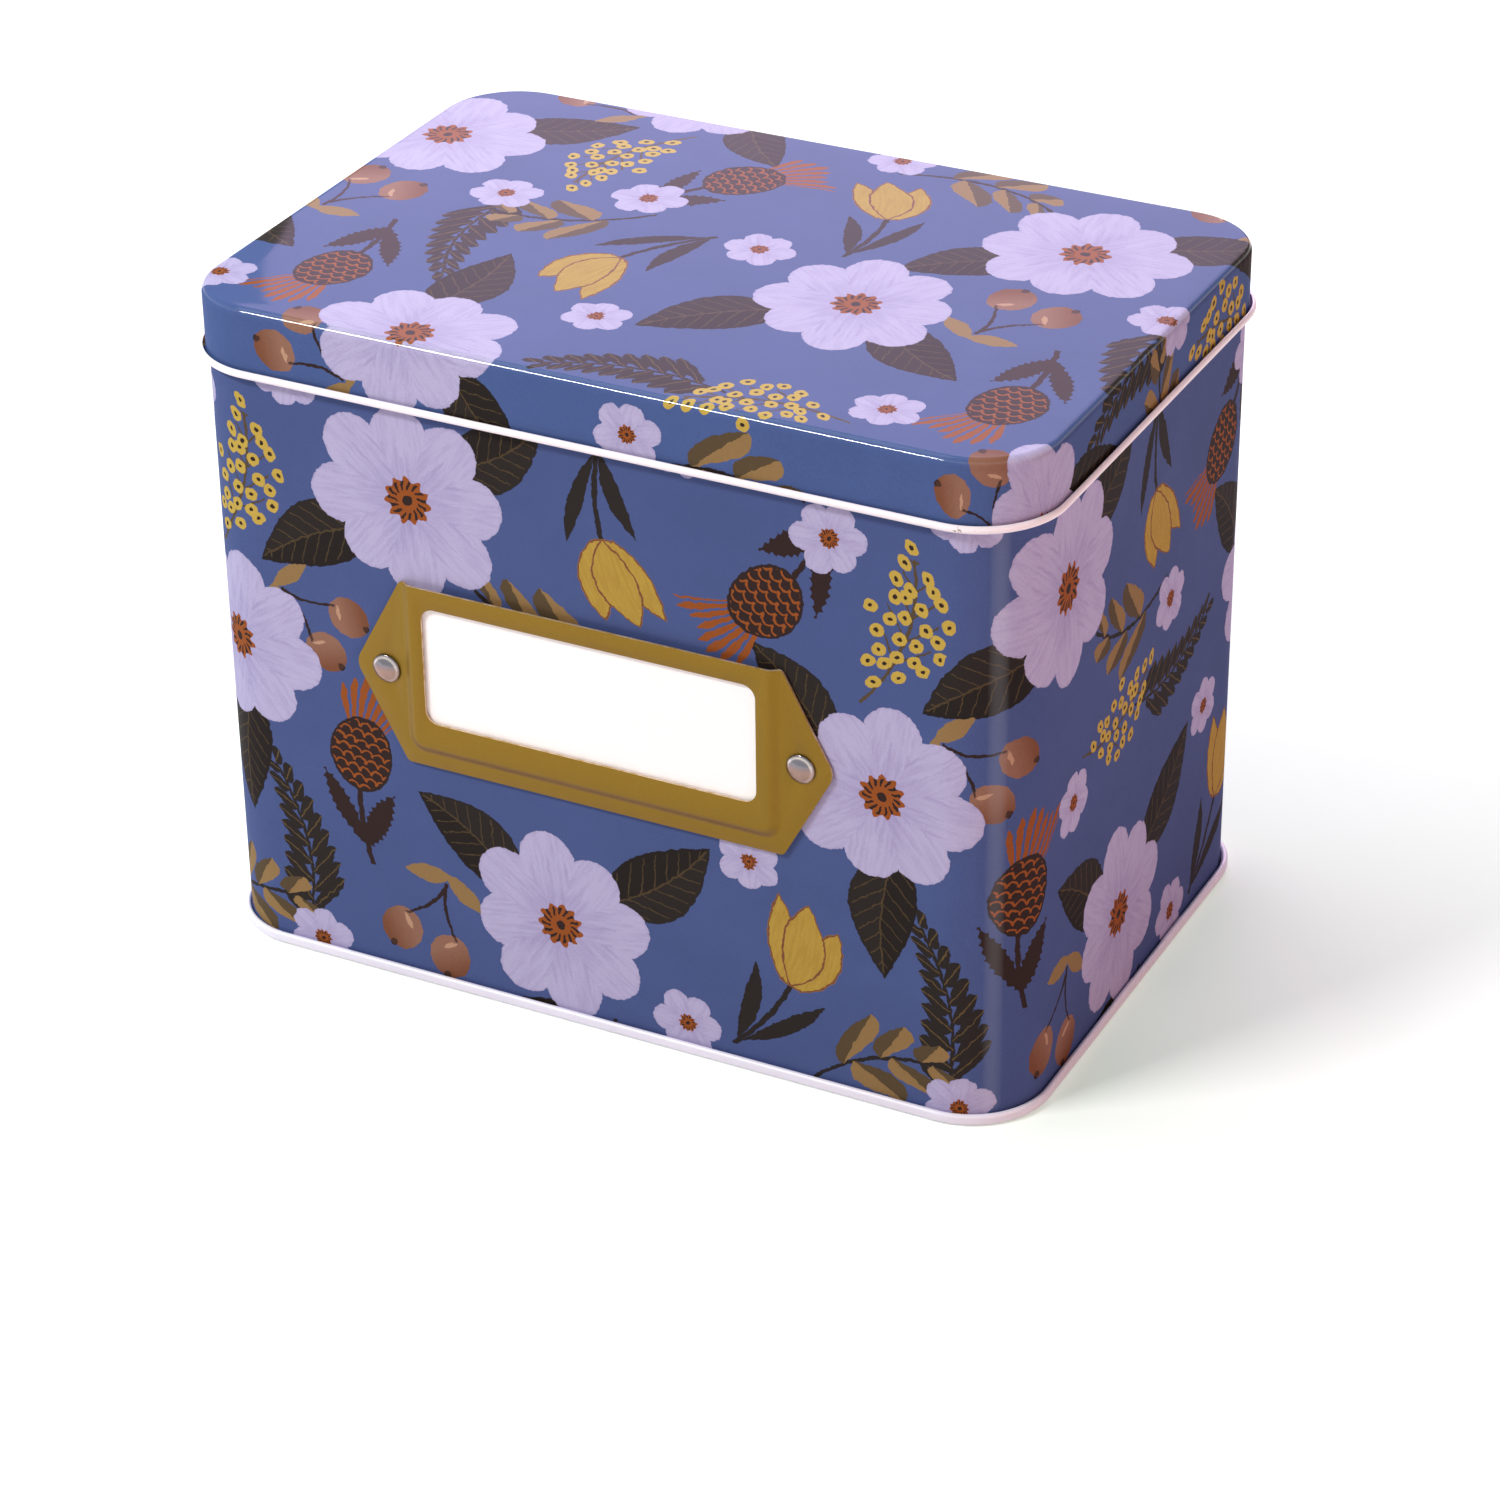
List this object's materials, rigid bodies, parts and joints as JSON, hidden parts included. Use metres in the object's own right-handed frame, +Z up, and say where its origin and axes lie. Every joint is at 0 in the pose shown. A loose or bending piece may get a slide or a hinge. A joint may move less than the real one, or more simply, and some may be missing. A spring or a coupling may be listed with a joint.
{
  "type": "tin box",
  "caption": "Rectangular slip-lid storage tin with rounded corners, a rolled base seam and a riveted label holder on the front.",
  "frame": {"origin": "middle of the surface that the tin stands on, under the middle of the body", "axes": "+Z up out of the lid, -Y out of the front wall that carries the label holder, +X to the right of someone who reads the label"},
  "size_m": [0.1688, 0.1162, 0.132],
  "materials": {
    "printed_tin": "satin printed lacquer on tinplate",
    "white_lacquer": "satin white lacquer on tinplate",
    "gold_paint": "satin gold paint",
    "rivet_metal": "nickel-plated steel",
    "card_stock": "matt white card"
  },
  "bodies": {
    "body": {"body_wall": "printed_tin", "base_panel": "white_lacquer", "label_holder": "gold_paint", "rivet_left": "rivet_metal", "rivet_right": "rivet_metal"},
    "lid": {"lid": "printed_tin"},
    "card": {"label_card": "card_stock"}
  },
  "joints": [
    {"name": "lid_lift", "type": "slide", "parent": "body", "child": "lid", "axis": [0, 0, 1], "range_m": [0, 0.06]},
    {"name": "card_slide", "type": "slide", "parent": "body", "child": "card", "axis": [0, 0, 1], "range_m": [0, 0.034]}
  ]
}
